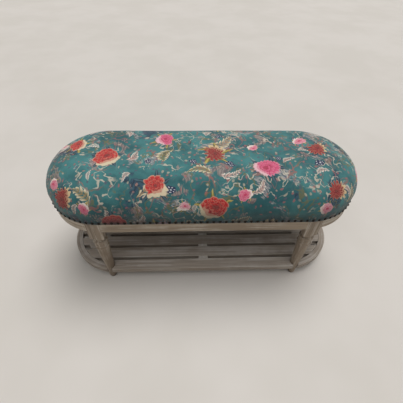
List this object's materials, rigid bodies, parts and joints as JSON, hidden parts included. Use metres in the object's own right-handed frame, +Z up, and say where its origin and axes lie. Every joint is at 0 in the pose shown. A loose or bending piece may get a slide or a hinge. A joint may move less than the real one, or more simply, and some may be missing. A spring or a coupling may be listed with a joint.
{
  "type": "upholstered bench",
  "caption": "Long upholstered bench with half-round ends: domed printed pad edged with nail heads, washed wooden frame, turned legs and a slatted lower shelf.",
  "frame": {"origin": "on the floor, under the middle of the bench", "axes": "+X along the length, -Y to the front, +Z up"},
  "size_m": [1.1656, 0.4416, 0.5125],
  "materials": {
    "washed_wood": "grey-brown whitewashed oak, matt",
    "raw_wood": "unfinished softwood and beech",
    "plywood": "unfinished plywood",
    "screw_steel": "zinc plated",
    "dust_cloth": "thin non-woven cloth",
    "foam": "open-cell foam",
    "wadding_fibre": "loose polyester wadding",
    "printed_fabric": "teal cloth with a floral print",
    "nail_metal": "dark antique bronze",
    "glide_plastic": "matt"
  },
  "bodies": {
    "root": {"board_screws": "screw_steel", "centre_batten": "washed_wood", "dust_cover": "dust_cloth", "foot_glides": "glide_plastic", "front_left_leg": "washed_wood", "front_rail": "washed_wood", "front_right_leg": "washed_wood", "front_stretcher": "washed_wood", "left_batten": "washed_wood", "left_brace": "raw_wood", "left_end_rail": "washed_wood", "left_shelf_rim": "washed_wood", "rear_left_leg": "washed_wood", "rear_rail": "washed_wood", "rear_right_leg": "washed_wood", "rear_stretcher": "washed_wood", "right_batten": "washed_wood", "right_brace": "raw_wood", "right_end_rail": "washed_wood", "right_shelf_rim": "washed_wood", "seat_board": "plywood", "seat_cover": "printed_fabric", "seat_foam": "foam", "shelf_dowels": "raw_wood", "shelf_screws": "screw_steel", "shelf_slat_1": "washed_wood", "shelf_slat_2": "washed_wood", "shelf_slat_3": "washed_wood", "shelf_slat_4": "washed_wood", "shelf_slat_5": "washed_wood", "upholstery_nails": "nail_metal", "wadding": "wadding_fibre"}
  },
  "joints": []
}
